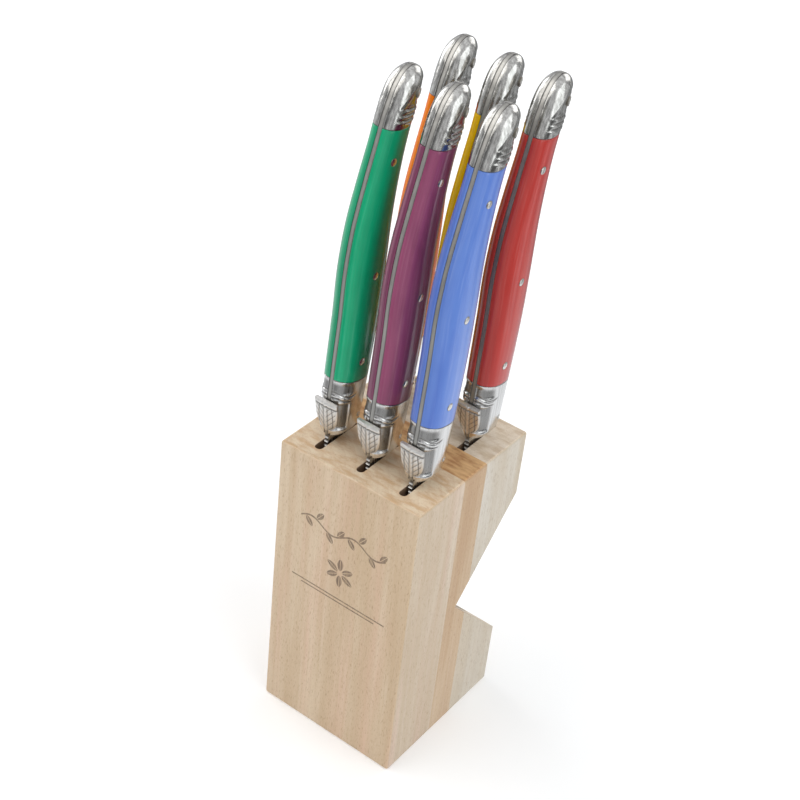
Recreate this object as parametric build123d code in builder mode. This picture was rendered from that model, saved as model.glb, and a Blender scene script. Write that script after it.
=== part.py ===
"""A knife block of three glued boards with six table knives standing in it.

Millimetres. The origin is the middle of the block's base, +X to the right, +Y to the
back (the notched side), +Z up. Each knife is built once in its own frame, where Z runs
along the blade, Y from the spine to the cutting edge, and the origin is on the spine
line at the level of the block's top. Copies are then seated in the six slots.
"""
import os
from math import cos, radians, sin

from build123d import *

# ---- block ----
block_width = 54.2
block_depth = 58.6
block_height = 112.0
front_glue_y = -5.6            # glue line between the front and the middle board
back_glue_y = 6.4              # glue line between the middle and the back board
edge_round = 0.9
same_place = 0.01              # closer than this counts as touching

notch_apex = (-0.4, 55.3)      # (y, z) of the V notch's innermost line
notch_top_z = 87.9             # where the notch leaves the back face
notch_foot_z = 25.0

slot_width = 2.8
slot_length = 19.0
slot_floor = 10.0              # wood left under the slots
column_pitch = 16.5

# ---- how the knives sit ----
front_seat_y = -21.0
back_seat_y = 8.7
back_lean = -1.5               # the back row's handles tip forward, degrees
front_row = ("green", "purple", "blue")
back_row = ("orange", "yellow", "red")

# ---- handle ----
# Stations along the handle: height, spine, belly, half thickness.
handle_stations = (
    (3.5, 0.6, 13.9, 4.9),
    (12.0, 0.3, 14.6, 5.4),
    (25.0, 1.2, 16.4, 5.6),
    (45.0, 2.6, 18.8, 5.7),
    (62.0, 3.4, 19.8, 5.7),
    (76.0, 5.6, 20.6, 5.4),
    (88.0, 9.0, 22.2, 5.0),
    (98.0, 12.2, 24.3, 4.7),
    (109.0, 15.9, 27.2, 4.8),
    (119.6, 21.2, 31.0, 4.9),
)
section_round = 0.86           # corner radius as a share of the section's smaller half
head_round = 3.3
heel_round = 3.2
tang_thickness = 1.4
bolster_line = ((-8.0, 26.5), (8.0, 22.9), (24.0, 21.6))
cap_line = ((0.0, 109.0), (16.0, 104.0), (34.0, 104.8))
side_reach = 9.0               # past the widest half thickness

# ---- blade: height, spine, edge, spine thickness ----
blade_stations = (
    (7.0, 0.9, 13.8, 1.4),
    (-35.0, 0.9, 13.3, 1.4),
    (-58.0, 1.0, 11.2, 1.3),
    (-74.0, 1.4, 7.8, 1.2),
    (-88.0, 2.0, 5.0, 1.0),
    (-99.5, 2.8, 3.4, 0.6),
)
cutting_edge = 0.3

# ---- thumb plate, on the spine side of the front bolsters ----
plate_top = (-1.2, 16.5)       # (y, z) of the plate's face at its top edge
plate_tip = (0.6, 4.5)
plate_top_width = 8.8
plate_waist_width = 8.4
plate_tip_width = 2.4
plate_waist = 0.6              # share of the length at which the plate starts to narrow
plate_thickness = 1.5

# ---- pins ----
scale_pin_radius = 1.15
scale_pins = ((8.5, 29.7), (11.1, 59.1), (16.0, 94.4))
bolster_pin_radius = 0.9
bolster_pin = (9.9, 9.0)
cap_pin_radii = (0.9, 1.5)
cap_pin = (25.2, 113.0)
cap_pin_turn = -35.0
pin_clearance = 0.03
pin_proud = 0.05

os.makedirs("parts", exist_ok=True)


def write(piece, node):
    """Label a finished piece and write it as its own node."""
    piece.label = node
    export_step(piece, f"parts/{node}.step")


# =====================================================================
# Block
# =====================================================================

half_depth = block_depth / 2
half_width = block_width / 2
upper_slope = (notch_top_z - notch_apex[1]) / (half_depth - notch_apex[0])
lower_slope = (notch_apex[1] - notch_foot_z) / (half_depth - notch_apex[0])
notch_upper_z = notch_apex[1] + upper_slope * (back_glue_y - notch_apex[0])
notch_lower_z = notch_apex[1] - lower_slope * (back_glue_y - notch_apex[0])

front_outline = (
    (-half_depth, 0),
    (front_glue_y, 0),
    (front_glue_y, block_height),
    (-half_depth, block_height),
)
middle_outline = (
    (front_glue_y, 0),
    (back_glue_y, 0),
    (back_glue_y, notch_lower_z),
    notch_apex,
    (back_glue_y, notch_upper_z),
    (back_glue_y, block_height),
    (front_glue_y, block_height),
)
back_upper_outline = (
    (back_glue_y, notch_upper_z),
    (half_depth, notch_top_z),
    (half_depth, block_height),
    (back_glue_y, block_height),
)
back_lower_outline = (
    (back_glue_y, 0),
    (half_depth, 0),
    (half_depth, notch_foot_z),
    (back_glue_y, notch_lower_z),
)


def is_outer_edge(edge):
    """True for an edge where two of the block's outer faces meet."""
    middle = edge @ 0.5
    on_side = abs(abs(middle.X) - half_width) < same_place
    on_end = abs(abs(middle.Y) - half_depth) < same_place
    on_level = min(abs(middle.Z), abs(middle.Z - block_height)) < same_place
    return on_side + on_end + on_level == 2


def board(node, outline, glue_y=None):
    """One board of the block; its slots run from the glue line into the wood."""
    with BuildPart() as wood:
        with BuildSketch(Plane.YZ.offset(-half_width)):
            with BuildLine():
                Polyline(*outline, close=True)
            make_face()
        extrude(amount=block_width)
        fillet(wood.edges().filter_by(is_outer_edge), edge_round)
        if glue_y is not None:
            with BuildSketch(Plane.XY.offset(slot_floor)):
                with Locations((0, glue_y)):
                    with GridLocations(column_pitch, 0, 3, 1):
                        SlotOverall(2 * slot_length, slot_width, rotation=90)
            extrude(amount=block_height, mode=Mode.SUBTRACT)
    write(wood.part, node)


board("front_board", front_outline, front_glue_y)
board("middle_board", middle_outline)
board("back_board_upper", back_upper_outline, back_glue_y)
board("back_board_lower", back_lower_outline, back_glue_y)


# =====================================================================
# Knife, built once
# =====================================================================

with BuildPart() as handle:
    for height, spine, belly, half_thickness in handle_stations:
        with BuildSketch(Plane.XY.offset(height)):
            with Locations((0, (spine + belly) / 2)):
                corner = section_round * min(half_thickness, (belly - spine) / 2)
                RectangleRounded(2 * half_thickness, belly - spine, corner)
    loft()
    fillet(handle.faces().sort_by(Axis.Z)[-1].edges(), head_round)
    fillet(handle.faces().sort_by(Axis.Z)[0].edges(), heel_round)


plate_run = Vector(0, plate_tip[0] - plate_top[0], plate_tip[1] - plate_top[1])
plate_plane = Plane(
    origin=(0, plate_top[0], plate_top[1]),
    x_dir=(1, 0, 0),
    z_dir=(0, plate_run.Z / plate_run.length, -plate_run.Y / plate_run.length),
)
with BuildPart() as thumb_plate:
    with BuildSketch(plate_plane):
        with BuildLine():
            shield_waist = -plate_waist * plate_run.length
            top_corner = (plate_top_width / 2, 0)
            waist_corner = (plate_waist_width / 2, shield_waist)
            tip_corner = (plate_tip_width / 2, -plate_run.length)
            Line((0, 0), top_corner)
            Line(top_corner, waist_corner)
            Line(waist_corner, tip_corner)
            Line(tip_corner, (0, -plate_run.length))
            mirror(about=Plane.YZ)
        make_face()
    extrude(amount=-plate_thickness)


def side_band(plane, lower, upper):
    """A band of the side view between two boundary arcs."""
    with BuildSketch(plane) as band:
        with BuildLine():
            ThreePointArc(*lower)
            ThreePointArc(*upper)
            Line(lower[0], upper[0])
            Line(lower[2], upper[2])
        make_face()
    return band.sketch


floor_line = ((-8.0, -6.0), (8.0, -6.1), (24.0, -6.0))
sky_line = ((0.0, 130.0), (16.0, 130.1), (34.0, 130.0))
bands = {
    "front_bolster": (floor_line, bolster_line),
    "scale": (bolster_line, cap_line),
    "butt_cap": (cap_line, sky_line),
}


def half_thickness_at(height):
    """Half thickness of the handle at a height, between its stations."""
    for low, high in zip(handle_stations, handle_stations[1:]):
        if low[0] <= height <= high[0]:
            share = (height - low[0]) / (high[0] - low[0])
            return low[3] + share * (high[3] - low[3])
    return handle_stations[-1][3]


def pin_profiles(growth=0.0):
    """The pins' outlines in the side view, grown by a clearance where they are holes."""
    with BuildSketch(Plane.YZ) as outlines:
        with Locations(*scale_pins):
            Circle(scale_pin_radius + growth)
        with Locations(bolster_pin):
            Circle(bolster_pin_radius + growth)
        with Locations(cap_pin):
            Ellipse(cap_pin_radii[0] + growth, cap_pin_radii[1] + growth, rotation=cap_pin_turn)
    return outlines.sketch


pin_holes = pin_profiles(pin_clearance)
pieces = {}
for side, direction in (("left", -1), ("right", 1)):
    for name, (lower, upper) in bands.items():
        with BuildPart() as half:
            add(handle.part)
            inner_face = Plane.YZ.offset(direction * tang_thickness / 2)
            extrude(side_band(inner_face, lower, upper), amount=direction * side_reach, mode=Mode.INTERSECT)
            if name == "front_bolster":
                add(thumb_plate.part, mode=Mode.SUBTRACT)
            extrude(pin_holes, amount=side_reach, both=True, mode=Mode.SUBTRACT)
        pieces[f"{name}_{side}"] = half.part

with BuildPart() as blade:
    add(handle.part)
    whole_side = side_band(Plane.YZ, floor_line, sky_line)
    extrude(whole_side, amount=tang_thickness / 2, both=True, mode=Mode.INTERSECT)
    extrude(pin_holes, amount=side_reach, both=True, mode=Mode.SUBTRACT)
    for height, spine, edge, thickness in blade_stations:
        with BuildSketch(Plane.XY.offset(height)):
            with BuildLine():
                Polyline(
                    (-thickness / 2, spine),
                    (thickness / 2, spine),
                    (cutting_edge / 2, edge),
                    (-cutting_edge / 2, edge),
                    close=True,
                )
            make_face()
    loft()
    add(thumb_plate.part, mode=Mode.SUBTRACT)
pieces["blade"] = blade.part
pieces["thumb_plate"] = thumb_plate.part

with BuildPart() as rivets:
    for place in scale_pins:
        with BuildSketch(Plane.YZ):
            with Locations(place):
                Circle(scale_pin_radius)
        extrude(amount=half_thickness_at(place[1]) + pin_proud, both=True)
    with BuildSketch(Plane.YZ):
        with Locations(bolster_pin):
            Circle(bolster_pin_radius)
    extrude(amount=half_thickness_at(bolster_pin[1]) + pin_proud, both=True)
    with BuildSketch(Plane.YZ):
        with Locations(cap_pin):
            Ellipse(*cap_pin_radii, rotation=cap_pin_turn)
    extrude(amount=half_thickness_at(cap_pin[1]) + pin_proud, both=True)
pieces["rivets"] = rivets.part


# =====================================================================
# Six knives in their slots
# =====================================================================

def seat(column, seat_y, lean):
    """The frame of a seated knife: its Z runs up along the blade."""
    return Plane(
        origin=((column - 1) * column_pitch, seat_y, block_height),
        x_dir=(1, 0, 0),
        z_dir=(0, sin(radians(lean)), cos(radians(lean))),
    )


seats = {colour: seat(column, front_seat_y, 0) for column, colour in enumerate(front_row)}
seats.update({colour: seat(column, back_seat_y, back_lean) for column, colour in enumerate(back_row)})

for colour, place in seats.items():
    for name, piece in pieces.items():
        with BuildPart(place) as seated:
            add(piece)
        write(seated.part, f"{colour}_{name}")
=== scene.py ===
from math import cos, pi, radians, sin

import bpy
import numpy as np
from mathutils import Matrix, Vector


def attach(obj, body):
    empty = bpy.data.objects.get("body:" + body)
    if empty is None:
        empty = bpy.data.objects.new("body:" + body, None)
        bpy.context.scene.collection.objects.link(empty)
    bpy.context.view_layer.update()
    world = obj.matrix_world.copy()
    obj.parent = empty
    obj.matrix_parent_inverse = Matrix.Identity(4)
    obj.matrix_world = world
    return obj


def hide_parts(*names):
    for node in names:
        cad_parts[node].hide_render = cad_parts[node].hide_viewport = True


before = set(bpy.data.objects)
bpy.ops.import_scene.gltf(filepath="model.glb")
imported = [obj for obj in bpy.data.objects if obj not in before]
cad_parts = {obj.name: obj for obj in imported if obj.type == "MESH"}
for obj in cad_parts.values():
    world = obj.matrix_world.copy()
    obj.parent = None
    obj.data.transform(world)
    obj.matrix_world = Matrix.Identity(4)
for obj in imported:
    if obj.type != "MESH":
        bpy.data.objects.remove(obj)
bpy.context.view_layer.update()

scene = bpy.context.scene
mm = 0.001

# ==== The object's measures, in millimetres, as in the CAD model ====

block_depth = 58.6
block_height = 112.0
front_glue_y = -5.6
back_glue_y = 6.4
slot_width = 2.8
slot_length = 19.0
slot_floor = 10.0
column_pitch = 16.5
front_seat_y = -21.0
back_seat_y = 8.7
back_lean = -1.5

# Knife frame: X across the handle, Y from the spine to the belly, Z up along the tang.
# Handle stations: height, spine, belly, half thickness.
handle_stations = (
    (3.5, 0.6, 13.9, 4.9),
    (12.0, 0.3, 14.6, 5.4),
    (25.0, 1.2, 16.4, 5.6),
    (45.0, 2.6, 18.8, 5.7),
    (62.0, 3.4, 19.8, 5.7),
    (76.0, 5.6, 20.6, 5.4),
    (88.0, 9.0, 22.2, 5.0),
    (98.0, 12.2, 24.3, 4.7),
    (109.0, 15.9, 27.2, 4.8),
    (119.6, 21.2, 31.0, 4.9),
)
section_power = 2.5            # superellipse exponent of the handle's section
heel_z = 3.5
heel_belly_round = 4.4
heel_side_round = 2.0
head_base = 112.0
head_rise = 7.9
head_power = 2.4               # superellipse exponent of the head's profile

bolster_line = ((-8.0, 26.5), (8.0, 22.9), (24.0, 21.6))
cap_line = ((0.0, 109.0), (16.0, 104.0), (34.0, 104.8))
tang_half = 0.7
seam_gap = 0.03
seam_round = 0.25
tang_inset = 0.1               # how far the tang stays under the handle's surface

# Blade stations: height, spine, edge, half thickness at the spine.
blade_stations = (
    (2.2, 0.9, 12.6, 0.69),
    (0.8, 0.9, 13.2, 0.7),
    (-4.0, 0.9, 13.4, 0.7),
    (-35.0, 0.9, 13.2, 0.7),
    (-58.0, 1.0, 11.2, 0.64),
    (-74.0, 1.4, 7.9, 0.58),
    (-88.0, 2.0, 5.0, 0.48),
    (-99.2, 2.9, 3.4, 0.3),
)
edge_half = 0.08
piece_sharp = 38.0             # degrees between faces at which an edge stays sharp
blade_sharp = 2.5              # keeps the line where the grind starts
filework = (-7.0, 4.6, 1.55, 0.42)   # from, to, pitch and depth of the scallops

plate_top = (-1.2, 16.5)
plate_tip = (0.6, 4.5)
plate_depth = 1.3
# Thumb plate outline: share of the length, half width.
plate_outline = (
    (0.0, 4.25), (0.06, 4.34), (0.2, 4.34), (0.42, 4.26), (0.6, 3.95),
    (0.75, 3.3), (0.87, 2.4), (0.95, 1.5), (1.0, 0.7),
)

scale_pins = ((8.5, 29.7), (11.1, 59.1), (16.0, 94.4))
scale_pin_radius = 1.15
bolster_pin = (9.9, 9.0)
bolster_pin_radius = 0.9
cap_pin = (25.2, 113.0)
cap_pin_radii = (0.9, 1.5)
cap_pin_turn = -35.0

front_row = ("green", "purple", "blue")
back_row = ("orange", "yellow", "red")


# ==== Mesh tools ====

def smooth_line(stations, column):
    """A smooth curve through one column of a station table, as a function of the first."""
    ordered = sorted(stations)
    places = np.array([row[0] for row in ordered])
    values = np.array([row[column] for row in ordered])
    slopes = np.gradient(values, places)

    def at(place):
        inside = np.clip(place, places[0], places[-1])
        low = np.clip(np.searchsorted(places, inside, side="right") - 1, 0, len(places) - 2)
        span = places[low + 1] - places[low]
        share = (inside - places[low]) / span
        rest = 1 - share
        start = values[low] * (1 + 2 * share) * rest ** 2 + slopes[low] * span * share * rest ** 2
        end = values[low + 1] * (3 - 2 * share) * share ** 2 - slopes[low + 1] * span * rest * share ** 2
        return start + end

    return at


def arc_line(points):
    """The circle through three (y, z) points, as z of y, for the joint lines of the handle."""
    (ay, az), (by, bz), (cy, cz) = points
    left = np.array(((by - ay, bz - az), (cy - by, cz - bz)))
    right = np.array((
        (by ** 2 - ay ** 2 + bz ** 2 - az ** 2) / 2,
        (cy ** 2 - by ** 2 + cz ** 2 - bz ** 2) / 2,
    ))
    centre_y, centre_z = np.linalg.solve(left, right)
    radius = np.hypot(ay - centre_y, az - centre_z)
    return lambda y: centre_z - np.sqrt(radius ** 2 - (y - centre_y) ** 2)


def ease(value):
    """A soft step from 0 to 1."""
    share = np.clip(value, 0, 1)
    return share * share * (3 - 2 * share)


def line_distance(y, z, points):
    """Distance from (y, z) to a polyline."""
    best = np.full(np.shape(y), np.inf)
    for a, b in zip(points, points[1:]):
        length = np.hypot(b[0] - a[0], b[1] - a[1])
        run = ((b[0] - a[0]) / length, (b[1] - a[1]) / length)
        t = np.clip((y - a[0]) * run[0] + (z - a[1]) * run[1], 0, length)
        best = np.minimum(best, np.hypot(y - a[0] - t * run[0], z - a[1] - t * run[1]))
    return best


def make_piece(name, points, faces, attributes, material, sharp):
    """A smooth-shaded mesh object from points in millimetres."""
    mesh = bpy.data.meshes.new(name)
    mesh.from_pydata((points * mm).tolist(), [], faces)
    for key, values in attributes.items():
        kind, field = ("FLOAT", "value") if np.ndim(values) == 1 else ("FLOAT_VECTOR", "vector")
        layer = mesh.attributes.new(key, kind, "POINT")
        layer.data.foreach_set(field, np.asarray(values, np.float32).ravel())
    mesh.validate()
    mesh.materials.append(material)
    mesh.shade_smooth()
    mesh.set_sharp_from_angle(angle=radians(sharp))
    piece = bpy.data.objects.new(name, mesh)
    scene.collection.objects.link(piece)
    return piece


def grid_faces(rows, columns):
    """Quads of a rows x columns grid of points."""
    corner = np.arange((rows - 1) * columns).reshape(rows - 1, columns)[:, :-1].ravel()
    return np.stack((corner, corner + 1, corner + columns + 1, corner + columns), axis=1).tolist()


def loft_faces(rows, count):
    """Quads between closed rings of points."""
    faces = []
    for low in range(0, (rows - 1) * count, count):
        for i in range(count):
            j = (i + 1) % count
            faces.append([low + i, low + j, low + count + j, low + count + i])
    return faces


# ==== Handle surface ====

spine_line = smooth_line(handle_stations, 1)
belly_line = smooth_line(handle_stations, 2)
half_line = smooth_line(handle_stations, 3)
heel_turn = heel_z + heel_belly_round
head_tall = float(belly_line(head_base) - spine_line(head_base)) / 2


def height(along):
    """Height of a place along the surface; past the head's base and the heel it follows the curve."""
    up = head_base + head_rise * np.sin(np.clip((along - head_base) / head_rise, 0, pi / 2))
    dip = np.clip((heel_turn - along) / heel_belly_round, 0, pi / 2)
    down = heel_turn - heel_belly_round * np.sin(dip)
    return np.where(along > head_base, up, np.where(along < heel_turn, down, along))


def section(along):
    """Centre, half height and half thickness of the handle at a place along the surface."""
    z = height(along)
    spine = spine_line(z)
    belly = belly_line(z)
    half = half_line(z)
    drop = np.clip((heel_turn - z) / heel_belly_round, 0, 1)
    belly = belly - heel_belly_round * (1 - np.sqrt(1 - drop ** 2))
    tuck = np.clip((heel_z + heel_side_round - z) / heel_side_round, 0, 1)
    half = half - heel_side_round * (1 - np.sqrt(1 - tuck ** 2))
    climb = np.clip((z - head_base) / head_rise, 0, 1)
    shrink = (1 - climb ** head_power) ** (1 / head_power)
    centre = (spine + belly) / 2
    tall = np.where(z > head_base, head_tall, (belly - spine) / 2) * shrink
    thickness = np.where(z > head_base, half_line(head_base), half) * shrink
    return centre, tall, thickness


def surface_x(y, z):
    """Half thickness of the finished handle at a point of its side view."""
    centre, tall, thickness = section(z)
    share = np.clip(np.abs((y - centre) / tall), 0, 1)
    return thickness * (1 - share ** section_power) ** (1 / section_power)


seam_steps = np.array((0.0, 0.03, 0.07, 0.12, 0.18, seam_round))
section_steps = 401
joint_passes = 12
far_off = 9.0                  # stands for the distance to a joint that isn't there


def seam_inset(distance):
    """How far a rounded seam edge lies below the surface at a distance from the seam."""
    rest = np.clip(seam_round - distance, 0, seam_round)
    return seam_round - np.sqrt(seam_round ** 2 - rest ** 2)


def side_columns(along, columns):
    """Points (x, y) of one half section, spine to belly, and each one's distance from the seams."""
    centre, tall, thickness = section(along)
    reach = np.clip(((tang_half + seam_gap) / np.maximum(thickness, 1e-6)) ** (section_power / 2), 0, 1)
    start = np.arccos(reach)
    turn = np.linspace(-1, 1, section_steps)[None, :] * start[:, None]
    power = 2 / section_power
    x = thickness[:, None] * np.cos(turn) ** power
    y = centre[:, None] + tall[:, None] * np.sign(turn) * np.abs(np.sin(turn)) ** power
    step = np.hypot(np.diff(x), np.diff(y))
    walked = np.concatenate((np.zeros((len(along), 1)), np.cumsum(step, axis=1)), axis=1)
    found = np.zeros((len(along), columns, 3))
    for row in range(len(along)):
        length = walked[row, -1]
        edge = seam_steps * min(1.0, length / (5 * seam_round))
        inner = np.linspace(edge[-1], length - edge[-1], columns - 2 * len(edge) + 2)[1:-1]
        places = np.concatenate((edge, inner, length - edge[::-1]))
        found[row, :, 0] = np.interp(places, walked[row], x[row])
        found[row, :, 1] = np.interp(places, walked[row], y[row])
        found[row, :, 2] = np.minimum(places, length - places)
    return found


table_step = 0.2
heel_end = heel_turn - heel_belly_round * pi / 2
head_share = ((tang_half + seam_gap) / float(half_line(head_base))) ** head_power
head_end = head_base + head_rise * float(np.arcsin((1 - head_share) ** (1 / head_power)))


def half_shell(lower, upper, rows, columns, relief=None):
    """One side of the handle between two joint lines, as a closed solid on the tang's face.

    lower and upper are joint lines, or None for the heel or the head."""
    places = np.arange(heel_end, head_end + table_step, table_step)
    places[-1] = head_end
    table = side_columns(places, columns)

    def look_up(along, layer):
        return np.stack([
            np.interp(along[:, j], places, table[:, j, layer]) for j in range(columns)
        ], axis=1)

    def joint(line, fixed, shift):
        if line is None:
            return np.full(columns, fixed)
        along = np.full((1, columns), line(12.0))
        for _ in range(joint_passes):
            along = line(look_up(along, 1)) + shift
        return along[0]

    low = joint(lower, heel_end, seam_gap)
    high = joint(upper, head_end, -seam_gap)
    low_steps = seam_steps if lower else np.zeros(1)
    high_steps = seam_steps if upper else np.zeros(1)
    inner_rows = rows - len(low_steps) - len(high_steps)
    share = np.linspace(0, 1, inner_rows + 2)[1:-1, None]
    low_rim = low + low_steps[-1]
    high_rim = high - high_steps[-1]
    along = np.concatenate((
        low + low_steps[:, None],
        low_rim + share * (high_rim - low_rim),
        high - high_steps[::-1, None],
    ))
    x = look_up(along, 0)
    y = look_up(along, 1)
    z = height(along)
    seam = look_up(along, 2)
    place = np.stack((x, y, z), axis=-1)
    normal = np.cross(np.gradient(place, axis=1), np.gradient(place, axis=0))
    normal /= np.maximum(np.linalg.norm(normal, axis=-1, keepdims=True), 1e-9)
    from_low = along - low if lower else np.full_like(along, far_off)
    from_high = high - along if upper else np.full_like(along, far_off)
    edge = np.minimum(seam, np.minimum(from_low, from_high))
    inset = seam_inset(edge)
    lift = np.zeros_like(x)
    cavity_shade = np.zeros_like(x)
    centre, tall, _ = section(along)
    across_share = (y - centre) / np.maximum(tall, 0.3)
    if relief:
        lift, cavity_shade = relief(y, z)
        lift = lift * ease(edge / 0.5)
    # Painted shade along the seams with the tang and the other pieces.
    cavity_shade = np.maximum(cavity_shade, 1 - ease(edge / 0.2))
    points = place + normal * (lift - inset)[..., None]
    points[..., 0] = np.maximum(points[..., 0], tang_half + seam_gap)
    points[:, 0, 0] = tang_half + seam_gap
    points[:, -1, 0] = tang_half + seam_gap
    if not upper:
        points[-1] = points[-1].mean(axis=0)

    flat = points.reshape(-1, 3)
    faces = grid_faces(rows, columns)
    lay = np.stack((x, across_share, z), axis=-1).reshape(-1, 3)
    dark = cavity_shade.ravel()
    extra = []
    ends = {0: [], rows - 1: []}
    for row in (0, rows - 1) if upper else (0,):
        for column in range(1, columns - 1):
            ends[row].append(len(flat) + len(extra))
            extra.append(row * columns + column)
    base = flat[extra].copy()
    base[:, 0] = tang_half + seam_gap
    flat = np.concatenate((flat, base))
    lay = np.concatenate((lay, lay[extra]))
    # The floor points of the end faces take full painted shade.
    dark = np.concatenate((dark, np.ones(len(extra))))
    for row, inner in ends.items():
        if not inner:
            continue
        rim = [row * columns + column for column in range(columns)]
        floor_rim = [rim[0], *inner, rim[-1]]
        for column in range(columns - 1):
            quad = [rim[column + 1], rim[column], floor_rim[column], floor_rim[column + 1]]
            if row:
                quad.reverse()
            faces.append(list(dict.fromkeys(quad)))
    loop = [row * columns for row in range(rows)]
    far_loop = [first + columns - 1 for first in loop]
    faces.append(loop + ends[rows - 1] + far_loop[::-1] + ends[0][::-1])
    return flat, faces, {"lay": lay, "cavity_shade": dark}


def merge(points, faces, attributes):
    """Joins points that lie together and drops the faces that vanish."""
    keys = {}
    target = np.zeros(len(points), int)
    kept = []
    for index, point in enumerate(np.round(points, 5)):
        key = tuple(point)
        if key not in keys:
            keys[key] = len(kept)
            kept.append(index)
        target[index] = keys[key]
    solid = []
    for face in faces:
        ring = [int(target[i]) for i in face]
        ring = [a for a, b in zip(ring, ring[1:] + ring[:1]) if a != b]
        if len(ring) > 2:
            solid.append(ring)
    return points[kept], solid, {key: values[kept] for key, values in attributes.items()}


# ---- what is worked into the steel of the bolsters and caps ----

bolster_joint = arc_line(bolster_line)
cap_joint = arc_line(cap_line)

upper_groove = ((-1.0, 21.0), (1.2, 19.6), (3.2, 18.4), (5.4, 18.1), (8.4, 19.0))
middle_bead = ((-1.0, 20.1), (1.2, 18.7), (3.2, 17.6), (5.4, 17.3), (8.4, 18.1))
lower_groove = ((-1.0, 19.2), (1.2, 17.8), (3.2, 16.8), (5.4, 16.6), (8.4, 17.2))
bolster_grooves = ((upper_groove, 6.6, 0.17), (lower_groove, 4.9, 0.13))    # line, end, depth
groove_width = 0.24
bead_width = 0.3
bead_end = 4.6
bead_rise = 0.06
facet_depth = 0.3
cheek_depth = 0.5
hollow_shade = 0.7             # how dark the painted shade in the facet and the cheek is


def worked_line(y, z, points, width):
    """A soft profile across a line of the side view: 1 on it, fading over the width."""
    level = smooth_line(points, 1)
    slope = (level(y + 0.1) - level(y - 0.1)) / 0.2
    return np.exp(-((z - level(y)) / np.sqrt(1 + slope ** 2) / width) ** 2)


def bolster_relief(y, z):
    """Two fine grooves with a bead between them near the spine, a facet over them and a
    flattened cheek under them, as height and painted shade."""
    lift = np.zeros_like(y)
    dark = np.zeros_like(y)
    for points, end, depth in bolster_grooves:
        cut = worked_line(y, z, points, groove_width) * (1 - ease((y - end + 0.8) / 1.8))
        lift -= depth * cut
        # Painted shade in the grooves.
        dark = np.maximum(dark, 0.95 * cut)
    lift += bead_rise * worked_line(y, z, middle_bead, bead_width) * (1 - ease((y - bead_end) / 1.8))
    facet = ease((6.2 - y) / 2.2) * ease((z - 18.6) / 1.2) * ease((24.2 - z - 0.2 * y) / 1.6)
    lift -= facet_depth * facet
    cheek = ease((4.9 - y) / 0.7) * ease((16.4 - z) / 1.2) * ease((z - 5.4) / 1.6)
    lift -= cheek_depth * cheek
    # Painted shade in the facet and the cheek.
    dark = np.maximum(dark, hollow_shade * np.maximum(facet, cheek))
    return lift, dark


cap_ribs = (
    ((15.4, 106.1), (20.0, 105.35), (27.0, 105.3)),
    ((16.2, 107.7), (20.4, 106.95), (27.0, 106.7)),
    ((17.4, 109.2), (21.0, 108.5), (27.4, 108.1)),
)
cap_furrows = (
    ((16.2, 106.9), (20.2, 106.15), (27.0, 106.0)),
    ((17.0, 108.4), (20.7, 107.7), (27.2, 107.4)),
    ((17.8, 109.9), (21.6, 109.35), (27.6, 108.9)),
)
cap_crease = ((18.2, 109.9), (21.0, 112.3), (23.6, 114.9), (25.8, 117.0))
rib_rise = 0.2
rib_width = 0.42
furrow_depth = 0.2
furrow_width = 0.27
rib_start = 0.8                # how far behind its first point a rib or furrow starts
rib_fade = 1.6
panel_depth = 0.26


def cap_relief(y, z):
    """Three short ribs on the belly half above the joint, and a sunk panel round the oval pin."""
    lift = np.zeros_like(y)
    dark = np.zeros_like(y)
    for points in cap_ribs:
        start = ease((y - points[0][0] - rib_start) / rib_fade)
        lift += rib_rise * worked_line(y, z, points, rib_width) * start
    for points in cap_furrows:
        start = ease((y - points[0][0] - rib_start) / rib_fade)
        cut = worked_line(y, z, points, furrow_width) * start
        lift -= furrow_depth * cut
        # Painted shade in the furrows.
        dark = np.maximum(dark, 0.7 * cut)
    away = line_distance(y, z, cap_crease)
    crease_z = np.interp(y, [p[0] for p in cap_crease], [p[1] for p in cap_crease])
    panel = ease((crease_z - z) / 1.6) * ease((z - 109.2) / 1.2) * ease((y - 18.0) / 1.6)
    lift -= panel_depth * panel
    lift += 0.08 * np.exp(-((away - 0.5) / 0.45) ** 2) * (1 - panel)
    # A thin line of painted shade along the crease.
    dark = np.maximum(dark, 0.3 * np.exp(-(away / 0.3) ** 2))
    return lift, dark


# ==== Node tools ====

def feed(tree, socket, value):
    """Links a node's output to a socket, or sets the socket to a value."""
    if isinstance(value, bpy.types.NodeSocket):
        tree.links.new(value, socket)
    else:
        socket.default_value = value


def add_node(tree, kind, inputs=None, **settings):
    """A shader node with its settings; an input is a value or another node's output."""
    made = tree.nodes.new(f"ShaderNode{kind}")
    for key, value in settings.items():
        setattr(made, key, value)
    for key, value in (inputs or {}).items():
        feed(tree, made.inputs[key], value)
    return made


def calc(tree, operation, *values):
    """A Math node."""
    return add_node(tree, "Math", dict(enumerate(values)), operation=operation).outputs[0]


def times(tree, first, second):
    """The product of two values."""
    return calc(tree, "MULTIPLY", first, second)


def plus(tree, first, second):
    """The sum of two values."""
    return calc(tree, "ADD", first, second)


def minus(tree, first, second):
    """The first value less the second."""
    return calc(tree, "SUBTRACT", first, second)


def magnitude(tree, value):
    """A value without its sign."""
    return calc(tree, "ABSOLUTE", value)


def vector_times(tree, first, second):
    """The product of two vectors, part by part."""
    return add_node(tree, "VectorMath", {0: first, 1: second}, operation="MULTIPLY").outputs[0]


def vector_plus(tree, first, second):
    """The sum of two vectors."""
    return add_node(tree, "VectorMath", {0: first, 1: second}, operation="ADD").outputs[0]


def spread(tree, value, low, high, to_low=0.0, to_high=1.0):
    """A value's range stretched to another, with soft ends."""
    return add_node(tree, "MapRange", {
        "Value": value, "From Min": low, "From Max": high, "To Min": to_low, "To Max": to_high,
    }, interpolation_type="SMOOTHSTEP").outputs["Result"]


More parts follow.
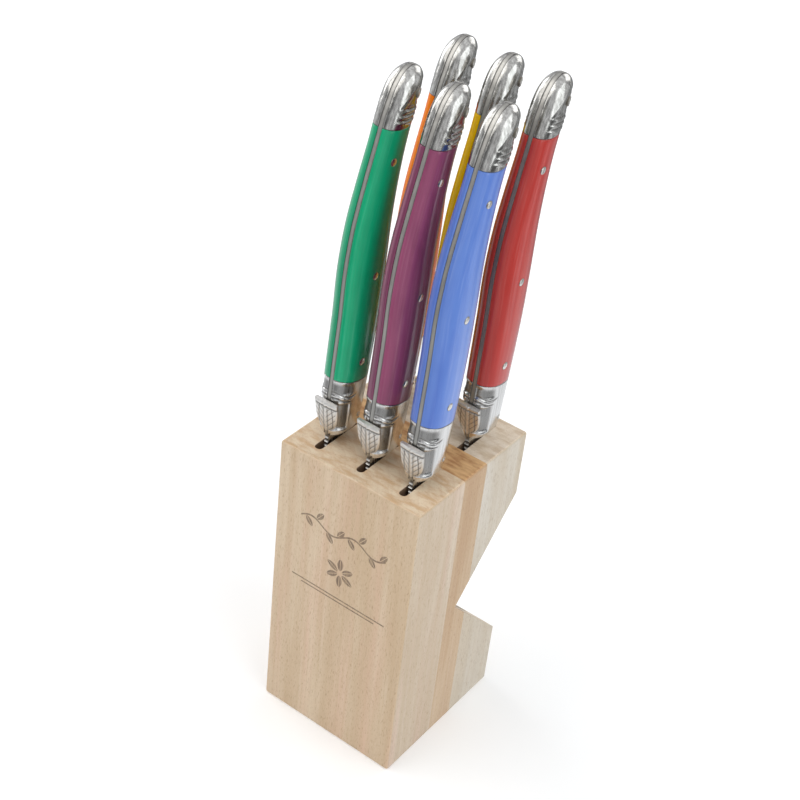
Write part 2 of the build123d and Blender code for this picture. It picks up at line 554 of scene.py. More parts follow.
def noise(tree, place, scale, detail=3.0, roughness=0.5, distortion=0.0):
    """Noise that varies by the given scales per unit of place."""
    stretched = vector_times(tree, place, scale)
    return add_node(tree, "TexNoise", {
        "Vector": stretched, "Scale": 1.0, "Detail": detail, "Roughness": roughness,
        "Distortion": distortion,
    }).outputs["Fac"]


def mix(tree, share, first, second, blend="MIX"):
    """Two colours mixed by a share."""
    made = add_node(tree, "Mix", data_type="RGBA", blend_type=blend)
    for key, value in (("Factor", share), ("A", first), ("B", second)):
        kind = "VALUE" if key == "Factor" else "RGBA"
        feed(tree, next(s for s in made.inputs if s.name == key and s.type == kind), value)
    return next(s for s in made.outputs if s.type == "RGBA")


def colour(red, green, blue):
    """An sRGB colour of 0 to 255 as a shader's linear colour."""
    linear = []
    for value in (red, green, blue):
        share = value / 255
        linear.append(share / 12.92 if share <= 0.04045 else ((share + 0.055) / 1.055) ** 2.4)
    return (*linear, 1.0)


def new_material(name):
    """An empty node material with its Principled shader."""
    made = bpy.data.materials.new(name)
    made.use_nodes = True
    tree = made.node_tree
    tree.nodes.clear()
    shader = add_node(tree, "BsdfPrincipled")
    output = add_node(tree, "OutputMaterial")
    tree.links.new(shader.outputs[0], output.inputs["Surface"])
    return made, tree, shader


def set_inputs(tree, shader, **inputs):
    """Sets or links a shader's inputs; underscores stand for spaces."""
    for key, value in inputs.items():
        feed(tree, shader.inputs[key.replace("_", " ")], value)


def place_in_mm(tree):
    """The surface point in millimetres, in the object's own frame."""
    here = add_node(tree, "TexCoord").outputs["Object"]
    return vector_times(tree, here, (1000.0, 1000.0, 1000.0))


# ==== Wood ====

def side_grain_and_cool_cast(tree, wood):
    """The greyer, paler tone of the quarter-sawn sides, with a cool cast of the side light painted in.
    """
    return mix(tree, 1.0, wood, (0.87, 0.95, 1.09, 1.0), "MULTIPLY")


def in_slot(tree, x, y, z):
    """1 on the walls and floors of the six slots."""
    slot = 0.0
    for column in (-column_pitch, 0.0, column_pitch):
        beside = magnitude(tree, minus(tree, x, column))
        within = calc(tree, "LESS_THAN", beside, slot_width / 2 + 0.1)
        slot = calc(tree, "MAXIMUM", slot, within)
    from_core = magnitude(tree, minus(tree, y, (front_glue_y + back_glue_y) / 2))
    core_half = (back_glue_y - front_glue_y) / 2
    for limit in (
        calc(tree, "LESS_THAN", z, block_height - 0.25),
        calc(tree, "GREATER_THAN", z, slot_floor - 0.1),
        calc(tree, "GREATER_THAN", from_core, core_half - 0.05),
        calc(tree, "LESS_THAN", from_core, core_half + slot_length + 0.1),
    ):
        slot = times(tree, slot, limit)
    return slot


def growth_rings(tree, here, moved, pith, ring_pitch):
    """The dark line of each growth ring round the tree's pith, with a slow wander."""
    wander = noise(tree, moved, (0.035, 0.035, 0.006), 2.0)
    x, y, z = add_node(tree, "SeparateXYZ", {0: here}).outputs
    far_x = plus(tree, minus(tree, x, pith[0]), times(tree, z, pith[2]))
    far_y = minus(tree, y, pith[1])
    distance = calc(tree, "SQRT", plus(tree, times(tree, far_x, far_x), times(tree, far_y, far_y)))
    distance = plus(tree, distance, times(tree, wander, 9.0))
    return calc(tree, "POWER", calc(tree, "FRACT", calc(tree, "DIVIDE", distance, ring_pitch)), 4.0)


def beech(name, pale, deep, flush, end_pale, end_deep, pith, ring_pitch, seed, ornament=False):
    """Beech with its growth rings, short dark flecks, fibres and end grain."""
    made, tree, shader = new_material(name)
    here = place_in_mm(tree)
    x, y, z = add_node(tree, "SeparateXYZ", {0: here}).outputs
    normal = add_node(tree, "NewGeometry").outputs["Normal"]
    facing = add_node(tree, "SeparateXYZ", {0: normal}).outputs
    side_facing = magnitude(tree, facing[0])
    end_grain = spread(tree, magnitude(tree, facing[2]), 0.75, 0.95)
    moved = vector_plus(tree, here, (seed, seed * 1.7, seed * 0.6))
    ring = growth_rings(tree, here, moved, pith, ring_pitch)

    # Lengthwise streaks, broad and fine.
    broad = noise(tree, moved, (0.09, 0.09, 0.007), 3.0, 0.55, 0.4)
    fine = noise(tree, moved, (0.9, 0.9, 0.02), 3.0, 0.6)
    blush = noise(tree, vector_plus(tree, moved, (40.0, 7.0, 3.0)), (0.16, 0.16, 0.01), 2.0)
    wood = mix(tree, spread(tree, broad, 0.3, 0.7), pale, deep)
    wood = mix(tree, spread(tree, blush, 0.45, 0.75, 0.0, 0.75), wood, flush)
    wood = mix(tree, spread(tree, fine, 0.35, 0.7, 0.0, 0.35), wood, deep)
    wood = mix(tree, times(tree, ring, 0.2), wood, deep)
    # The sideways faces take the quarter-sawn tone and a painted cool cast of the side light.
    side_grain_and_cast_share = spread(tree, side_facing, 0.7, 0.95, 0.0, 0.8)
    wood = mix(tree, side_grain_and_cast_share, wood, side_grain_and_cool_cast(tree, wood))

    # Short dark flecks that stand along the grain; on end grain they are pores.
    fleck_noise = noise(tree, moved, (2.9, 2.9, 0.5), 1.0, 0.5)
    fleck = spread(tree, fleck_noise, 0.6, 0.7)
    thin_noise = noise(tree, vector_plus(tree, moved, (11.0, 5.0, 9.0)), (5.5, 5.5, 0.75), 1.0)
    thin = spread(tree, thin_noise, 0.62, 0.7)
    flecks = calc(tree, "MAXIMUM", fleck, times(tree, thin, 0.7))
    dark_fleck = mix(tree, 1.0, wood, (0.62, 0.5, 0.4, 1.0), "MULTIPLY")
    wood = mix(tree, times(tree, flecks, 0.5), wood, dark_fleck)

    # End grain: deeper, with close rings and tiny pores.
    ray = noise(tree, moved, (0.16, 0.5, 0.4), 3.0, 0.6)
    end = mix(tree, spread(tree, ray, 0.35, 0.7), end_pale, end_deep)
    end = mix(tree, times(tree, ring, 0.3), end, end_deep)
    pore_noise = noise(tree, moved, (4.6, 4.6, 4.6), 1.0)
    pores = spread(tree, pore_noise, 0.62, 0.72)
    dark_pore = mix(tree, 1.0, end, (0.42, 0.3, 0.22, 1.0), "MULTIPLY")
    end = mix(tree, times(tree, pores, 0.45), end, dark_pore)
    wood = mix(tree, end_grain, wood, end)

    # Painted shade darkens the walls and floors of the slots.
    slot_shade_noise = noise(tree, moved, (0.5, 0.5, 0.12), 3.0)
    slot_painted_shade = mix(tree, slot_shade_noise, colour(132, 96, 62), colour(78, 54, 34))
    wood = mix(tree, times(tree, in_slot(tree, x, y, z), 0.8), wood, slot_painted_shade)

    if ornament:
        mark = sprig(tree, x, z, y)
        grain_gap = spread(tree, fleck_noise, 0.25, 0.5)
        shade = times(tree, mark, spread(tree, fine, 0.2, 0.7, 0.9, 0.55))
        grain_break = plus(tree, 0.72, times(tree, grain_gap, 0.28))
        shade = times(tree, shade, grain_break)
        wood = mix(tree, shade, wood, colour(88, 66, 46))

    rough = spread(tree, fine, 0.3, 0.7, 0.46, 0.6)
    rough = plus(tree, rough, times(tree, end_grain, 0.08))
    relief = times(tree, flecks, -0.5)
    relief = plus(tree, relief, times(tree, fine, 0.6))
    open_pores = times(tree, pores, end_grain)
    relief = plus(tree, relief, times(tree, open_pores, -0.5))
    if ornament:
        relief = plus(tree, relief, times(tree, mark, -1.6))
    bump = add_node(tree, "Bump", {"Height": relief, "Strength": 0.35, "Distance": 0.0002})
    set_inputs(tree, shader, Base_Color=wood, Roughness=rough, Normal=bump.outputs[0])
    return made


def leaf(tree, across, up, centre, turn, length, width):
    """1 inside a leaf shape, where two circles overlap, with soft edges."""
    angle = radians(turn)
    local_x = minus(tree, across, centre[0])
    local_z = minus(tree, up, centre[1])
    along = plus(tree, times(tree, local_x, cos(angle)), times(tree, local_z, sin(angle)))
    aside = plus(tree, times(tree, local_x, -sin(angle)), times(tree, local_z, cos(angle)))
    radius = (length ** 2 / 4 + width ** 2 / 4) / width
    offset = radius - width / 2
    reach = plus(tree, magnitude(tree, aside), offset)
    away = calc(tree, "SQRT", plus(tree, times(tree, along, along), times(tree, reach, reach)))
    body = spread(tree, away, radius, radius - 0.14)
    vein = spread(tree, magnitude(tree, aside), 0.06, 0.16)
    return times(tree, body, vein)


stem_z = 88.0
stem_swing = 1.7
stem_wave = 17.0
stem_half = 17.0
stem_leaves = 8
first_leaf = -14.9
leaf_pitch = 4.25
leaf_turn = 52.0
rosette_z = 73.0
rosette_reach = 3.4
rosette_leaves = 6
rules = ((62.0, 19.0), (60.6, 15.0))     # height, half length


def sprig(tree, x, z, y):
    """A scorched ornament on the front face only: leaves on a wavy stem, a rosette, two rules."""
    wave = calc(tree, "SINE", times(tree, x, 2 * pi / stem_wave))
    level = plus(tree, stem_z, times(tree, wave, stem_swing))
    stem = magnitude(tree, minus(tree, z, level))
    mark = spread(tree, stem, 0.46, 0.22)
    mark = times(tree, mark, calc(tree, "LESS_THAN", magnitude(tree, x), stem_half))
    for index in range(stem_leaves):
        place = first_leaf + leaf_pitch * index
        side = 1 if index % 2 else -1
        stem_height = stem_z + stem_swing * sin(2 * pi * place / stem_wave)
        centre = (place + 1.3, stem_height + side * 2.0)
        mark = calc(tree, "MAXIMUM", mark, leaf(tree, x, z, centre, side * leaf_turn, 4.6, 2.2))
    for index in range(rosette_leaves):
        turn = 360.0 / rosette_leaves * (index + 0.5)
        across = rosette_reach * cos(radians(turn))
        up = rosette_z + rosette_reach * sin(radians(turn))
        mark = calc(tree, "MAXIMUM", mark, leaf(tree, x, z, (across, up), turn, 5.2, 2.4))
    for rule_z, half in rules:
        rule = spread(tree, magnitude(tree, minus(tree, z, rule_z)), 0.36, 0.16)
        rule = times(tree, rule, calc(tree, "LESS_THAN", magnitude(tree, x), half))
        mark = calc(tree, "MAXIMUM", mark, rule)
    front = calc(tree, "LESS_THAN", y, -block_depth / 2 + 0.3)
    return times(tree, mark, front)


front_wood = beech(
    "beech_front", colour(216, 196, 169), colour(195, 168, 135), colour(208, 174, 147),
    colour(226, 206, 178), colour(206, 172, 134), (-64.0, -88.0, 0.02), 3.3, 3.0, ornament=True,
)
core_wood = beech(
    "beech_core", colour(203, 172, 135), colour(186, 148, 108), colour(192, 156, 118),
    colour(220, 178, 126), colour(176, 124, 78), (30.0, -120.0, 0.03), 2.6, 17.0,
)
back_wood = beech(
    "beech_back", colour(210, 196, 175), colour(196, 176, 148), colour(202, 181, 152),
    colour(232, 216, 196), colour(208, 184, 154), (-80.0, 70.0, -0.02), 2.9, 31.0,
)
for node, wood in (
    ("front_board", front_wood), ("middle_board", core_wood),
    ("back_board_upper", back_wood), ("back_board_lower", back_wood),
):
    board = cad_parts[node]
    if not board.data.materials:
        board.data.materials.append(wood)
    for index in range(len(board.material_slots)):
        board.material_slots[index].material = wood


# ==== Steel and acrylic ====

cavity_shade_share = 0.85             # how dark the painted shade in cuts, seams and hollows makes the steel


def steel(name, tone, painted_shade_tone, rough, scratch, painted_streak_share):
    """Polished or brushed steel with fine scratches, dark lengthwise streaks painted in for reflections,
    and painted shade in its cuts, seams and hollows.
    """
    made, tree, shader = new_material(name)
    here = place_in_mm(tree)
    scuffs = noise(tree, here, (3.0, 3.0, 0.25), 4.0, 0.6)
    hairline = noise(tree, here, (14.0, 14.0, 0.15), 2.0, 0.6)
    cloud = noise(tree, here, (1.3, 1.3, 0.05), 3.0)
    cavity_shade = add_node(tree, "Attribute", attribute_name="cavity_shade").outputs["Fac"]
    # Dark lengthwise streaks painted into the metal's colour stand for reflections.
    metal = mix(tree, spread(tree, cloud, 0.35, 0.65, 0.0, painted_streak_share), tone, painted_shade_tone)
    # Painted shade in cuts, seams and hollows.
    metal = mix(tree, times(tree, cavity_shade, cavity_shade_share), metal, painted_shade_tone)
    roughness = spread(tree, scuffs, 0.3, 0.75, rough, rough + 0.1)
    roughness = plus(tree, roughness, times(tree, cavity_shade, 0.2))
    bump = add_node(tree, "Bump", {
        "Height": hairline, "Strength": scratch, "Distance": 0.00004,
    })
    set_inputs(tree, shader, Base_Color=metal, Metallic=1.0, Roughness=roughness, Normal=bump.outputs[0])
    return made


polished = steel("steel_polished", colour(196, 195, 191), colour(62, 56, 50), 0.09, 0.25, 0.34)
# A paler, less streaky copy of the polished steel for the bolsters: painted light for their brighter
# reflections.
bolster_lit_steel = steel("steel_bolster_lit", colour(228, 227, 225), colour(62, 58, 52), 0.12, 0.25, 0.16)
engraved = steel("steel_engraved", colour(236, 234, 230), colour(70, 62, 54), 0.34, 0.2, 0.1)
brushed = steel("steel_brushed", colour(208, 206, 200), colour(52, 46, 42), 0.22, 0.35, 0.16)
pin_metal = steel("steel_pin", colour(240, 238, 232), colour(120, 112, 100), 0.12, 0.2, 0.2)

# Each scale's body, deep and pale tone, and how strong its polished skin is.
scale_colours = {
    "green": (colour(12, 160, 112), colour(4, 130, 90), colour(76, 190, 152), 0.8),
    "purple": (colour(142, 70, 102), colour(104, 44, 74), colour(180, 120, 146), 0.8),
    "blue": (colour(94, 126, 196), colour(70, 100, 180), colour(156, 172, 214), 0.8),
    "orange": (colour(232, 122, 0), colour(212, 100, 0), colour(238, 138, 8), 0.2),
    "yellow": (colour(222, 180, 0), colour(206, 158, 0), colour(232, 196, 28), 0.2),
    "red": (colour(174, 55, 49), colour(152, 42, 38), colour(208, 122, 114), 0.8),
}


def acrylic(name, body, deep, pale, shine):
    """Pearly acrylic: silky bands along the handle under a polished skin, and a painted sheen paler
    towards the belly.
    """
    made, tree, shader = new_material(name)
    lay = add_node(tree, "Attribute", attribute_name="lay").outputs["Vector"]
    here = place_in_mm(tree)
    shift = vector_times(tree, here, (0.06, 0.0, 0.0))
    place = vector_plus(tree, lay, shift)
    band = noise(tree, place, (0.2, 1.1, 0.006), 2.0, 0.5, 0.2)
    silk = noise(tree, place, (1.2, 6.0, 0.03), 4.0, 0.6)
    cloud = noise(tree, here, (0.2, 0.2, 0.06), 2.0)
    tone = mix(tree, spread(tree, band, 0.34, 0.66), deep, body)
    tone = mix(tree, spread(tree, silk, 0.45, 0.85, 0.0, 0.35), tone, pale)
    tone = mix(tree, spread(tree, cloud, 0.4, 0.75, 0.0, 0.3), tone, deep)
    across_share = add_node(tree, "SeparateXYZ", {0: lay}).outputs[1]
    # Painted sheen: the scale grows paler towards the belly.
    tone = mix(tree, spread(tree, across_share, 0.2, 0.95, 0.0, 0.15), tone, pale)
    roughness = spread(tree, silk, 0.3, 0.7, 0.28, 0.4)
    bump = add_node(tree, "Bump", {"Height": silk, "Strength": 0.12, "Distance": 0.00005})
    set_inputs(
        tree, shader, Base_Color=tone, Roughness=roughness, Normal=bump.outputs[0],
        Specular_IOR_Level=0.2, Specular_Tint=tone, Coat_Weight=shine, Coat_Roughness=0.1,
    )
    return made


# ==== Knife pieces, built once in the knife's own frame ====

ring_across = np.array((-1.0, -0.82, 0.0, 0.82, 1.0))       # share of the half thickness
ring_corner = np.array((0.14, 0.0, 0.0, 0.0, 0.14))         # drop of its outer corners
side_shares = (0.04, 0.34, 0.7)      # spine to edge: the flat's two ends, and half down the grind
flat_sides = (1.0, 1.0, 1.0)         # thickness at those places, as a share of the spine's
ground_sides = (1.0, 0.97, 0.55)
# Painted shade across the tang, darkest at its edges, full on its sides under the scales, and in the
# filed scallops.
tang_painted_shade = (0.95, 0.5, 0.32, 0.5, 0.95)
tang_side_painted_shade = (1.0, 1.0, 1.0)
filework_painted_shade = 0.6
plain_points = len(ring_across) + 2 * len(side_shares)      # all of a ring but its spine
last_turn = 1.54               # a little under a quarter turn, so that the head's last ring is open
head_rows = 60
tang_rows = 70
heel_rows = 12
neck_rows = 8
neck_end = 1.0
filework_step = 0.16
blade_rows = 110


def closed_ring(top, bottom, half, spine, edge, sides, z):
    """A ring of the tang or blade: along the spine, down the right side, along the edge and up."""
    right = [(half * t, spine + f * (edge - spine), z) for f, t in zip(side_shares, sides)]
    left = [(-x, y, z) for x, y, z in right]
    spine_points = [(x, y, z) for x, y in top]
    edge_points = [(x, y, z) for x, y in bottom]
    return spine_points + right + edge_points[::-1] + left[::-1]


def tang_rings():
    """Rings of the tang from the head to the heel, a little under the handle's surface."""
    head = head_base + head_rise * np.linspace(last_turn, 0, head_rows, endpoint=False)
    straight = np.linspace(head_base, heel_turn, tang_rows, endpoint=False)
    heel = np.linspace(heel_turn, heel_end, heel_rows)
    rings = []
    for along in np.concatenate((head, straight, heel)):
        centre, tall, thickness = (float(v) for v in section(np.array(along)))
        reach = min(tang_half - 0.01, 0.96 * thickness)
        x = ring_across * reach
        crown = tall * (1 - np.abs(x / thickness) ** section_power) ** (1 / section_power)
        inset = min(tang_inset, tall / 3)
        spine = centre - crown + inset + ring_corner * min(1.0, tall)
        belly = centre + crown - inset - ring_corner * min(1.0, tall)
        z = float(height(np.array(along)))
        rings.append(closed_ring(zip(x, spine), zip(x, belly), reach, spine[0], belly[0], flat_sides, z))
    return rings, [[*tang_painted_shade, *tang_side_painted_shade] * 2] * len(rings)


def blade_rings():
    """Rings of the blade from the heel to the point, with scallops filed into its spine."""
    spine_of = smooth_line(blade_stations, 1)
    edge_of = smooth_line(blade_stations, 2)
    half_of = smooth_line(blade_stations, 3)
    low, high, pitch, depth = filework
    neck = np.linspace(blade_stations[0][0], neck_end, neck_rows)
    worked = np.arange(neck_end, low, -filework_step)[1:]
    rest = np.linspace(low, blade_stations[-1][0], blade_rows)[1:]
    rings = []
    dark = []
    for z in np.concatenate((neck, worked, rest)):
        spine = float(spine_of(z))
        edge = float(edge_of(z))
        half = float(half_of(z))
        scallop = 0.0
        if low < z < high:
            scallop = depth * abs(sin(pi * z / pitch)) ** 0.8
        top = zip(ring_across * half, spine + scallop + 0.5 * ring_corner)
        bottom = zip(ring_across * edge_half, np.full(len(ring_across), edge))
        rings.append(closed_ring(top, bottom, half, spine, edge, ground_sides, z))
        dark.append([filework_painted_shade * scallop / depth] * len(ring_across) + [0.0] * plain_points)
    return rings, dark


def whole_blade():
    """The tang and the blade as one loft of closed rings, from the head to the point."""
    rings, dark = (a + b for a, b in zip(tang_rings(), blade_rings()))
    count = len(rings[0])
    faces = [face[::-1] for face in loft_faces(len(rings), count)]
    faces.append(list(range(count)))
    faces.append([(len(rings) - 1) * count + i for i in range(count)][::-1])
    return np.array(rings).reshape(-1, 3), faces, {"cavity_shade": np.array(dark).ravel()}


plate_rows = 74
plate_columns = 53
bar_end = 1.25                 # from the plate's top edge down to the end of its plain bar
bar_groove = 1.75
vein_pitch = 2.1
vein_slant = 1.25
rim_start = 0.84               # share of the half width
plate_face_inset = 0.35


def plate_relief(aside, across, width, down, length):
    """Height and painted shade of the thumb plate: bar, rim, midrib, slanting veins, rounded border."""
    rim = ease((np.abs(aside) - rim_start) / 0.08)
    bar = 1 - ease((down - bar_end) / 0.3)
    groove_line = np.exp(-((down - bar_groove) / 0.28) ** 2)
    midrib = np.exp(-(across / 0.32) ** 2)
    beside = np.exp(-((np.abs(across) - 0.75) / 0.24) ** 2)
    vein = np.abs(2 * ((down + vein_slant * np.abs(across)) / vein_pitch % 1) - 1)
    vein_cut = ease((vein - 0.8) / 0.18) * (1 - rim) * (1 - midrib) * (1 - bar)
    panel_edge = np.abs(across) - 0.5 * width - 0.1 * down
    panel_line = np.exp(-(panel_edge / 0.16) ** 2) * (1 - bar) * (1 - rim)
    cut = np.maximum(vein_cut, panel_line)
    border = np.minimum(np.minimum((1 - np.abs(aside)) * width, down), length - down)
    round_off = 0.35 * (1 - ease(border / 0.5))
    lift = 0.42 * (1 - aside ** 2) + 0.14 * rim + 0.12 * bar + 0.16 * midrib
    lift = lift - 0.26 * groove_line - 0.17 * cut - 0.12 * beside - round_off
    # Painted shade in the slanting cuts, the cross line and beside the midrib.
    dark = np.maximum(cut, np.maximum(groove_line, 0.6 * beside * (1 - bar)))
    return lift, np.clip(dark, 0, 1)


def thumb_plate():
    """The shield on the spine of the bolsters, with a plain leaf worked into it."""
    run = np.array((plate_tip[0] - plate_top[0], plate_tip[1] - plate_top[1]))
    length = float(np.hypot(*run))
    run = run / length
    out = np.array((run[1], -run[0]))
    share = np.linspace(0, 1, plate_rows)[:, None] * np.ones((1, plate_columns))
    aside = np.linspace(-1, 1, plate_columns)[None, :] * np.ones((plate_rows, 1))
    width = smooth_line(plate_outline, 1)(share)
    across = aside * width
    down = share * length
    lift, dark = plate_relief(aside, across, width, down, length)

    def laid(x, rise):
        """Points of the plate at a height over its plane."""
        y = plate_top[0] + run[0] * down + out[0] * rise
        z = plate_top[1] + run[1] * down + out[1] * rise
        return np.stack((x, y, z), axis=-1)

    face = laid(across, lift - plate_face_inset).reshape(-1, 3)
    back = laid(across * 0.96, -plate_depth)
    rim_index = [(0, c) for c in range(plate_columns)]
    rim_index += [(r, plate_columns - 1) for r in range(1, plate_rows)]
    rim_index += [(plate_rows - 1, c) for c in range(plate_columns - 2, -1, -1)]
    rim_index += [(r, 0) for r in range(plate_rows - 2, 0, -1)]
    count = len(rim_index)
    front_ring = [r * plate_columns + c for r, c in rim_index]
    back_ring = list(range(len(face), len(face) + count))
    faces = [quad[::-1] for quad in grid_faces(plate_rows, plate_columns)]
    for i in range(count):
        j = (i + 1) % count
        faces.append([front_ring[i], front_ring[j], back_ring[j], back_ring[i]])
    faces.append(back_ring)
    points = np.concatenate((face, np.array([back[r, c] for r, c in rim_index])))
    # The plate's rim walls take half the painted shade.
    return points, faces, {"cavity_shade": np.concatenate((dark.ravel(), np.full(count, 0.5)))}


# Rivet head profiles: share of the radius, height over the surface, painted shade.
plain_head = (
    (1.14, -0.1, 1.0), (1.12, 0.015, 1.0), (1.0, 0.02, 1.0), (0.96, 0.06, 0.2),
    (0.82, 0.1, 0.0), (0.56, 0.14, 0.0), (0.28, 0.17, 0.0), (0.0, 0.18, 0.0),
)
ringed_head = (
    (1.0, -0.1, 1.0), (0.97, 0.05, 0.6), (0.86, 0.09, 0.0), (0.76, 0.04, 0.6), (0.66, -0.06, 1.0),
    (0.56, 0.02, 0.5), (0.36, 0.09, 0.0), (0.0, 0.12, 0.0),
)


slope_step = 0.5
rivet_sides = 36


def rivet(place, radii, turn, profile):
    """One through pin with a worked head on either side, standing across the handle."""
    surface = float(surface_x(np.array(place[0]), np.array(place[1])))
    beside = float(surface_x(np.array(place[0] + slope_step), np.array(place[1])))
    slope = (beside - surface) / slope_step
    angle = radians(turn)
    rings = []
    dark = []
    for side in (-1, 1):
        steps = profile if side > 0 else profile[::-1]
        for share, lift, ring_shade in steps:
            ring = []
            for i in range(rivet_sides):
                around = 2 * pi * i / rivet_sides
                wide = radii[0] * share * cos(around)
                tall = radii[1] * share * sin(around)
                y = place[0] + wide * cos(angle) - tall * sin(angle)
                z = place[1] + wide * sin(angle) + tall * cos(angle)
                x = side * (surface + lift + slope * (y - place[0]))
                ring.append((x, y, z))
            rings.append(ring)
            dark.append([ring_shade] * rivet_sides)
    faces = loft_faces(len(rings), rivet_sides)
    return np.array(rings).reshape(-1, 3), faces, {"cavity_shade": np.array(dark).ravel()}


def joined(parts):
    """Several closed meshes as the parts of one piece."""
    points = []
    faces = []
    dark = []
    for part_points, part_faces, attributes in parts:
        faces += [[i + sum(len(p) for p in points) for i in face] for face in part_faces]
        points.append(part_points)
        dark.append(attributes["cavity_shade"])
    return np.concatenate(points), faces, {"cavity_shade": np.concatenate(dark)}


def mirrored(points, faces, attributes):
    """The same piece for the left side."""
    flip = np.array((-1.0, 1.0, 1.0))
    turned = {**attributes, "lay": attributes["lay"] * flip}
    return points * flip, [face[::-1] for face in faces], turned


right_scale = merge(*half_shell(bolster_joint, cap_joint, 96, 52))
right_bolster = merge(*half_shell(None, bolster_joint, 124, 104, bolster_relief))
right_cap = merge(*half_shell(cap_joint, None, 108, 92, cap_relief))
pins = [rivet(place, (scale_pin_radius, scale_pin_radius), 0.0, plain_head) for place in scale_pins]
pins.append(rivet(bolster_pin, (bolster_pin_radius, bolster_pin_radius), 0.0, ringed_head))
pins.append(rivet(cap_pin, cap_pin_radii, cap_pin_turn, ringed_head))
pins = [merge(*pin) for pin in pins]

knife_pieces = {
    "blade": (whole_blade(), "blade_steel", brushed),
    "thumb_plate": (thumb_plate(), "polished_steel", engraved),
    "front_bolster_left": (mirrored(*right_bolster), "polished_steel", bolster_lit_steel),
    "front_bolster_right": (right_bolster, "polished_steel", bolster_lit_steel),
    "scale_left": (mirrored(*right_scale), "scale", None),
    "scale_right": (right_scale, "scale", None),
    "butt_cap_left": (mirrored(*right_cap), "polished_steel", polished),
    "butt_cap_right": (right_cap, "polished_steel", polished),
    "rivets": (joined(pins), "polished_steel", pin_metal),
}


def seated(points, column, seat_y, lean):
    """Points of the knife's frame in the object's frame, in its slot."""
    angle = radians(lean)
    x = points[:, 0] + (column - 1) * column_pitch
    y = seat_y + points[:, 1] * cos(angle) + points[:, 2] * sin(angle)
    z = block_height - points[:, 1] * sin(angle) + points[:, 2] * cos(angle)
    return np.stack((x, y, z), axis=1)


for row, seat_y, lean in ((front_row, front_seat_y, 0.0), (back_row, back_seat_y, back_lean)):
    for column, name in enumerate(row):
        scale_material = acrylic(f"acrylic_{name}", *scale_colours[name])
        for part, ((points, faces, attributes), slot_name, material) in knife_pieces.items():
            piece = make_piece(
                f"{name}_{part}_finish", seated(points, column, seat_y, lean), faces, attributes,
                material or scale_material, blade_sharp if part == "blade" else piece_sharp,
            )
            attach(piece, f"{name}_knife")
            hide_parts(f"{name}_{part}")


# ==== Studio ====

def studio_streaks(tree, direction, base):
    """Light and dark uprights round the object, as polished metal sees them in a studio."""
    apart = add_node(tree, "SeparateXYZ", {0: direction})
    turn = calc(tree, "ARCTAN2", apart.outputs[1], apart.outputs[0])
    around = add_node(tree, "CombineXYZ", {
        0: times(tree, calc(tree, "COSINE", turn), 2.3),
        1: times(tree, calc(tree, "SINE", turn), 2.3),
    }).outputs[0]
    wave = add_node(tree, "TexNoise", {"Vector": around, "Scale": 1.0, "Detail": 2.0})
    streak = spread(tree, wave.outputs["Fac"], 0.4, 0.6)
    return plus(tree, base, times(tree, streak, 1.0 - base))


def make_floor():
    """A plain pale floor that glows more further out; what is polished sees the studio's
    streaks in it."""
    made, tree, shader = new_material("studio_floor")
    here = place_in_mm(tree)
    speckle = noise(tree, here, (0.05, 0.05, 0.05), 2.0)
    tone = mix(tree, speckle, (0.9, 0.905, 0.91, 1.0), (0.92, 0.92, 0.92, 1.0))
    distance = add_node(tree, "VectorMath", {0: here}, operation="LENGTH").outputs["Value"]
    glow = spread(tree, distance, 150.0, 1500.0, floor_glow, far_glow)
    set_inputs(
        tree, shader, Base_Color=tone, Roughness=0.7, Specular_IOR_Level=0.2,
        Emission_Color=(1.0, 1.0, 1.0, 1.0), Emission_Strength=glow,
    )
    far = spread(tree, distance, 190.0, 330.0)
    streaks = studio_streaks(tree, here, 0.16)
    level = plus(tree, times(tree, far, streaks), minus(tree, 1.0, far))
    mirror = add_node(tree, "Emission", {"Color": (0.95, 0.97, 1.0, 1.0), "Strength": level})
    ray = add_node(tree, "LightPath")
    both = add_node(tree, "MixShader", {
        0: ray.outputs["Is Glossy Ray"], 1: shader.outputs[0], 2: mirror.outputs[0],
    })
    tree.links.new(both.outputs[0], tree.nodes["Material Output"].inputs["Surface"])
    mesh = bpy.data.meshes.new("floor")
    corners = ((-1, -1), (1, -1), (1, 1), (-1, 1))
    mesh.from_pydata([(floor_reach * x, floor_reach * y, 0) for x, y in corners], [], [(0, 1, 2, 3)])
    mesh.materials.append(made)
    floor = bpy.data.objects.new("floor", mesh)
    scene.collection.objects.link(floor)


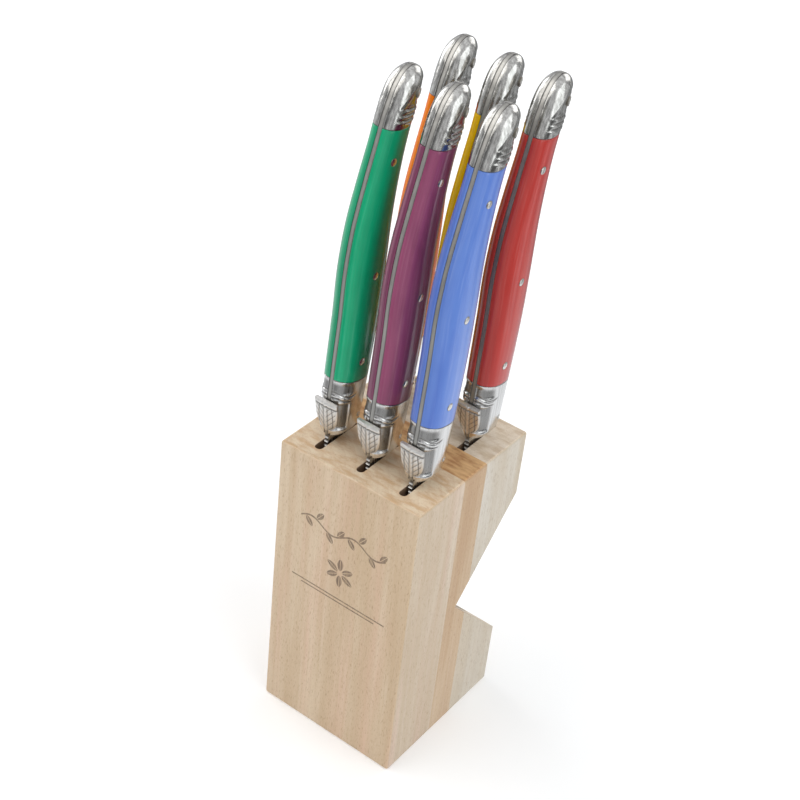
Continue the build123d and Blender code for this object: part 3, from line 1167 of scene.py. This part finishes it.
def make_world():
    """White for the camera, soft for matt surfaces, and a shaded studio for what is polished."""
    world = bpy.data.worlds.new("studio")
    world.use_nodes = True
    tree = world.node_tree
    tree.nodes.clear()
    ray = add_node(tree, "LightPath")
    towards = add_node(tree, "TexCoord").outputs["Generated"]
    apart = add_node(tree, "SeparateXYZ", {0: towards})
    overhead = spread(tree, apart.outputs[2], 0.5, 0.95)
    streaks = studio_streaks(tree, towards, 0.2)
    low_level = times(tree, minus(tree, 1.0, overhead), streaks)
    level = plus(tree, low_level, overhead)
    glossy, soft, white = (
        add_node(tree, "Background", {"Color": (*tint, 1.0), "Strength": strength})
        for tint, strength in (
            ((0.96, 0.97, 1.0), level), ((0.95, 0.97, 1.0), sky_strength), ((1.0, 1.0, 1.0), 1.0),
        )
    )
    seen = add_node(tree, "MixShader", {
        0: ray.outputs["Is Glossy Ray"], 1: soft.outputs[0], 2: glossy.outputs[0],
    })
    last = add_node(tree, "MixShader", {
        0: ray.outputs["Is Camera Ray"], 1: seen.outputs[0], 2: white.outputs[0],
    })
    add_node(tree, "OutputWorld", {"Surface": last.outputs[0]})
    scene.world = world


def softbox(name, place, size, power, tint):
    """A rectangular studio light, turned to the object."""
    data = bpy.data.lights.new(name, "AREA")
    data.shape = "RECTANGLE"
    data.size = size[0]
    data.size_y = size[1]
    data.energy = power
    data.color = tint
    lamp = bpy.data.objects.new(name, data)
    lamp.location = place
    lamp.rotation_mode = "QUATERNION"
    lamp.rotation_quaternion = (Vector(object_middle) - Vector(place)).to_track_quat("-Z", "Y")
    scene.collection.objects.link(lamp)


floor_reach = 3.0
floor_glow = 0.14
far_glow = 0.55
sky_strength = 0.5
make_floor()
make_world()
object_middle = (0.0, 0.0, 0.11)
# Name, place and size in metres, power in watts and tint of each light.
softboxes = (
    ("key", (-0.8, -0.9, 1.4), (1.6, 1.6), 11.4, (1.0, 0.98, 0.95)),
    ("fill", (1.3, -0.1, 0.8), (1.7, 1.5), 12.8, (0.94, 0.98, 1.0)),
    ("left", (-1.3, 0.1, 0.6), (0.8, 0.9), 6.0, (1.0, 1.0, 1.0)),
    ("rim", (0.2, 1.2, 0.9), (1.0, 0.6), 4.0, (1.0, 1.0, 1.0)),
)
for light in softboxes:
    softbox(*light)

# Camera, at the photograph's place.
camera_place = (0.2202, -0.3418, 0.4222)
camera_forward = Vector((-0.44298534, 0.67572611, -0.58920134))
camera_roll = radians(6.56)
camera_data = bpy.data.cameras.new("camera")
camera_data.lens = 72.74
camera_data.sensor_width = 36.0
camera_data.clip_start = 0.01
camera_data.clip_end = 20.0
camera = bpy.data.objects.new("camera", camera_data)
level = camera_forward.cross(Vector((0, 0, 1))).normalized()
above = level.cross(camera_forward)
camera_x = level * cos(camera_roll) + above * sin(camera_roll)
camera_y = above * cos(camera_roll) - level * sin(camera_roll)
axes = Matrix((camera_x, camera_y, -camera_forward)).transposed()
camera.matrix_world = Matrix.Translation(camera_place) @ axes.to_4x4()
scene.collection.objects.link(camera)
scene.camera = camera
scene.view_settings.view_transform = "Standard"
